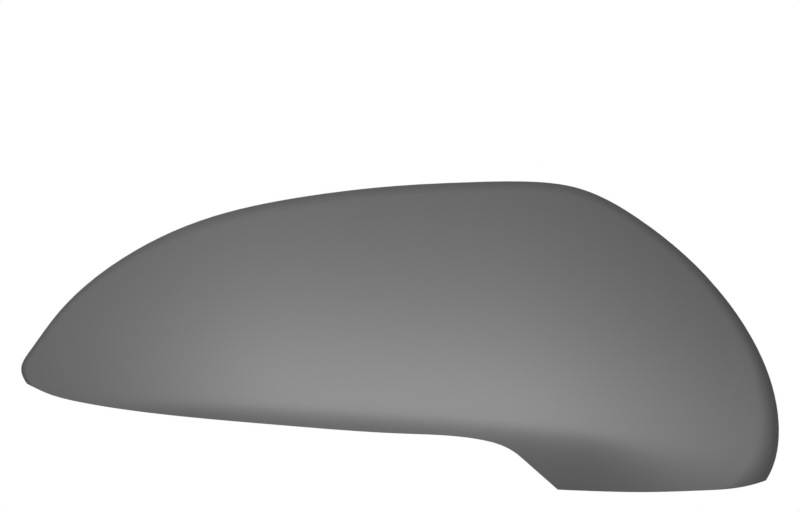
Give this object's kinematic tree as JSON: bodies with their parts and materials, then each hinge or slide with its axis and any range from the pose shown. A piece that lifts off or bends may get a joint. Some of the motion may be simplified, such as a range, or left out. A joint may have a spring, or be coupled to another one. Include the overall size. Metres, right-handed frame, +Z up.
{
  "type": "wing mirror cover",
  "caption": "Smooth domed cap for the back of a car's right wing mirror, with a lamp opening in its inboard end, an open lower edge, snap hooks and locating pins.",
  "frame": {"origin": "middle of the bounding box; the moulding keeps the pose it has on the car", "axes": "+X inboard towards the car, +Y rearward to the open side that clips to the mirror housing, +Z up; the convex front faces -Y"},
  "size_m": [0.248, 0.0898, 0.1016],
  "materials": {
    "primed_plastic": "satin primer, ready to paint"
  },
  "bodies": {
    "root": {"mirror_cover": "primed_plastic"}
  },
  "joints": []
}
